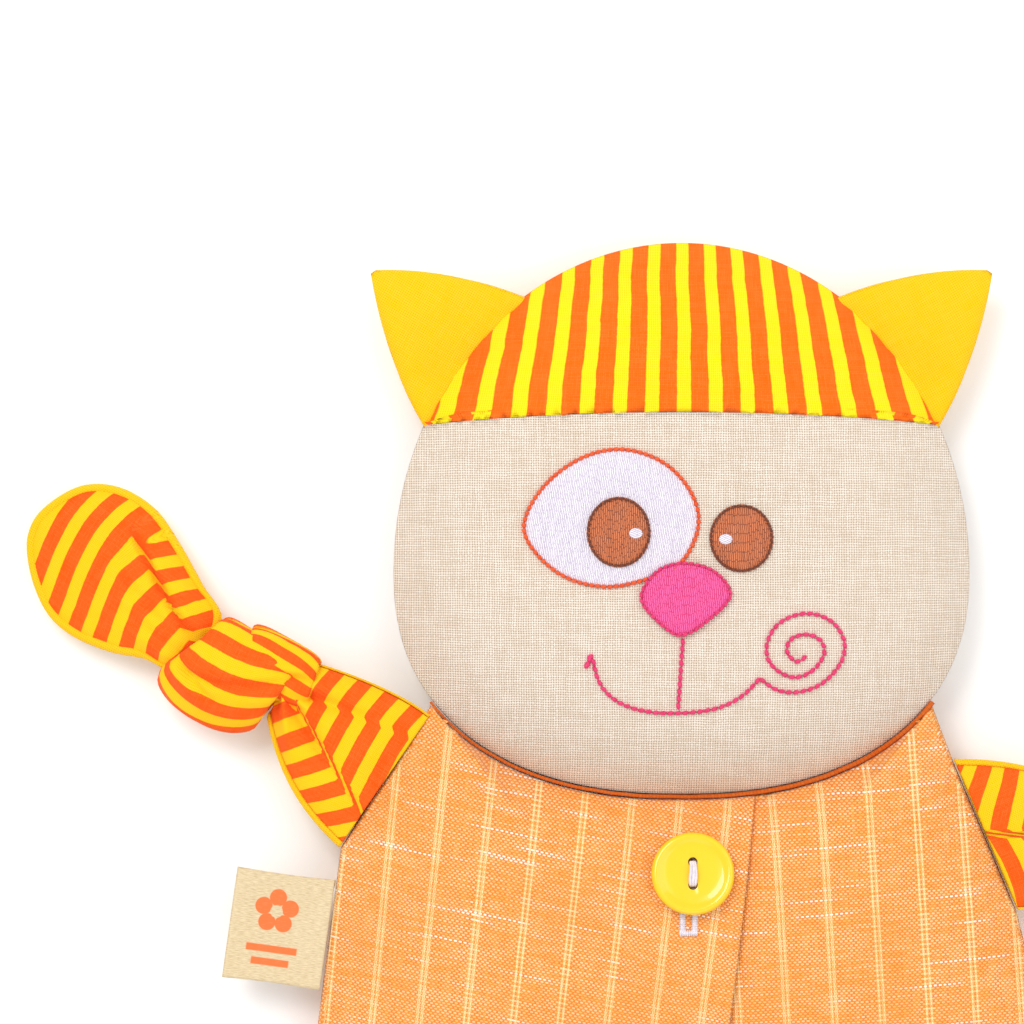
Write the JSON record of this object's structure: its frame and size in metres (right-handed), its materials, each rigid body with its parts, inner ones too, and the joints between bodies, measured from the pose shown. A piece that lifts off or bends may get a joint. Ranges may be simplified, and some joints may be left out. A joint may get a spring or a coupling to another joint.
{
  "type": "plush cat",
  "caption": "Flat cloth cat that lies on its back, with a stuffed head, a buttoned coat over a warming pouch, and knotted striped arms and legs.",
  "frame": {"origin": "on the flat underside of the coat's back, under the middle of the body, where the cat lies on its back", "axes": "+X is the viewer's right when looking at the face, +Y runs from the hem to the top of the head, +Z comes out of the face"},
  "size_m": [0.3444, 0.3514, 0.032],
  "materials": {
    "face_linen": "undyed plain-weave linen, open weave, matt",
    "striped_cotton": "printed cotton in orange and yellow stripes",
    "yellow_cotton": "plain yellow cotton, visible weave",
    "coat_linen": "orange linen with pale slubs and thin yellow double stripes",
    "neck_tape": "rust orange turned edge",
    "white_thread": "white embroidery thread, slight sheen",
    "orange_thread": "orange-red embroidery thread",
    "brown_thread": "brown embroidery thread",
    "pink_thread": "hot pink embroidery thread",
    "head_filling": "polyester wadding",
    "pouch_cotton": "plain cotton",
    "cherry_stones": "dry cherry stones",
    "button_plastic": "glossy yellow resin",
    "label_satin": "champagne satin ribbon"
  },
  "bodies": {
    "body": {"front_left_panel": "coat_linen", "front_right_panel": "coat_linen", "back_panel": "coat_linen", "neck_tape": "neck_tape", "pouch_front": "pouch_cotton", "pouch_back": "pouch_cotton", "cherry_stone_filling": "cherry_stones", "buttonhole_stitching": "white_thread"},
    "head": {"face_panel": "face_linen", "cap_front_panel": "striped_cotton", "head_back_panel": "face_linen", "cap_back_panel": "striped_cotton", "head_filling": "head_filling", "eye_white": "white_thread", "eye_outline": "orange_thread", "big_iris": "brown_thread", "big_glint": "white_thread", "small_iris": "brown_thread", "small_glint": "white_thread", "nose": "pink_thread", "mouth_and_curl": "pink_thread"},
    "left_ear": {"left_ear_front": "yellow_cotton", "left_ear_back": "yellow_cotton"},
    "right_ear": {"right_ear_front": "yellow_cotton", "right_ear_back": "yellow_cotton"},
    "button": {"button": "button_plastic", "button_thread": "white_thread"},
    "label": {"side_label": "label_satin"},
    "left_arm": {"left_arm_upper_front": "striped_cotton", "left_arm_upper_back": "yellow_cotton"},
    "left_arm_knot": {"left_arm_knot": "striped_cotton"},
    "left_hand": {"left_hand_front": "striped_cotton", "left_hand_back": "yellow_cotton"},
    "right_arm": {"right_arm_upper_front": "striped_cotton", "right_arm_upper_back": "yellow_cotton"},
    "right_arm_knot": {"right_arm_knot": "striped_cotton"},
    "right_hand": {"right_hand_front": "striped_cotton", "right_hand_back": "yellow_cotton"},
    "left_leg": {"left_leg_upper_front": "striped_cotton", "left_leg_upper_back": "yellow_cotton"},
    "left_leg_knot": {"left_leg_knot": "striped_cotton"},
    "left_foot": {"left_foot_front": "striped_cotton", "left_foot_back": "yellow_cotton"},
    "right_leg": {"right_leg_upper_front": "striped_cotton", "right_leg_upper_back": "yellow_cotton"},
    "right_leg_knot": {"right_leg_knot": "striped_cotton"},
    "right_foot": {"right_foot_front": "striped_cotton", "right_foot_back": "yellow_cotton"}
  },
  "joints": [
    {"name": "head_tilt", "type": "hinge", "parent": "body", "child": "head", "pos_m": [0, 0.056, 0.012], "axis": [1, 0, 0], "range_deg": [-25, 45]},
    {"name": "left_ear_fold", "type": "hinge", "parent": "head", "child": "left_ear", "pos_m": [-0.05318, 0.15613, 0.012], "axis": [0.6121, 0.7908, 0], "range_deg": [-35, 40]},
    {"name": "right_ear_fold", "type": "hinge", "parent": "head", "child": "right_ear", "pos_m": [0.05318, 0.15613, 0.012], "axis": [0.6121, -0.7908, 0], "range_deg": [-35, 40]},
    {"name": "left_arm_shoulder", "type": "hinge", "parent": "body", "child": "left_arm", "pos_m": [-0.072, 0.05203, 0.012], "axis": [0.5659, 0.8245, 0], "range_deg": [-60, 75]},
    {"name": "left_arm_knot_bend", "type": "hinge", "parent": "left_arm", "child": "left_arm_knot", "pos_m": [-0.09385, 0.07309, 0.01], "axis": [0.4459, 0.895, -0.0093], "range_deg": [-45, 50]},
    {"name": "left_hand_flop", "type": "hinge", "parent": "left_arm_knot", "child": "left_hand", "pos_m": [-0.11891, 0.08557, 0.01002], "axis": [0.5661, 0.8243, -0.0093], "range_deg": [-45, 60]},
    {"name": "right_arm_shoulder", "type": "hinge", "parent": "body", "child": "right_arm", "pos_m": [0.07375, 0.03925, 0.012], "axis": [0.3909, -0.9204, 0], "range_deg": [-60, 75]},
    {"name": "right_arm_knot_bend", "type": "hinge", "parent": "right_arm", "child": "right_arm_knot", "pos_m": [0.10677, 0.03806, 0.01], "axis": [-0.2574, -0.9654, 0.041], "range_deg": [-45, 50]},
    {"name": "right_hand_flop", "type": "hinge", "parent": "right_arm_knot", "child": "right_hand", "pos_m": [0.13383, 0.03087, 0.01039], "axis": [-0.4213, -0.9061, 0.038], "range_deg": [-45, 60]},
    {"name": "left_leg_hip", "type": "hinge", "parent": "body", "child": "left_leg", "pos_m": [-0.043, -0.062, 0.012], "axis": [-1, 0, 0], "range_deg": [-60, 75]},
    {"name": "left_leg_knot_bend", "type": "hinge", "parent": "left_leg", "child": "left_leg_knot", "pos_m": [-0.046, -0.09193, 0.01], "axis": [-0.9945, 0.1043, 0.007], "range_deg": [-45, 50]},
    {"name": "left_foot_flop", "type": "hinge", "parent": "left_leg_knot", "child": "left_foot", "pos_m": [-0.04892, -0.11978, 0.01001], "axis": [-0.9848, 0.1734, 0.0069], "range_deg": [-45, 60]},
    {"name": "right_leg_hip", "type": "hinge", "parent": "body", "child": "right_leg", "pos_m": [0.043, -0.062, 0.012], "axis": [-1, 0, 0], "range_deg": [-60, 75]},
    {"name": "right_leg_knot_bend", "type": "hinge", "parent": "right_leg", "child": "right_leg_knot", "pos_m": [0.046, -0.09193, 0.01], "axis": [-0.9945, -0.1043, -0.007], "range_deg": [-45, 50]},
    {"name": "right_foot_flop", "type": "hinge", "parent": "right_leg_knot", "child": "right_foot", "pos_m": [0.04892, -0.11978, 0.01001], "axis": [-0.9848, -0.1734, -0.0069], "range_deg": [-45, 60]},
    {"name": "label_flip", "type": "hinge", "parent": "body", "child": "label", "pos_m": [-0.08579, 0.01468, 0.012], "axis": [0.1298, 0.9915, 0], "range_deg": [-60, 80]},
    {"name": "button_lift", "type": "slide", "parent": "body", "child": "button", "axis": [0, 0.2207, 0.9753], "range_m": [0, 0.002]}
  ]
}
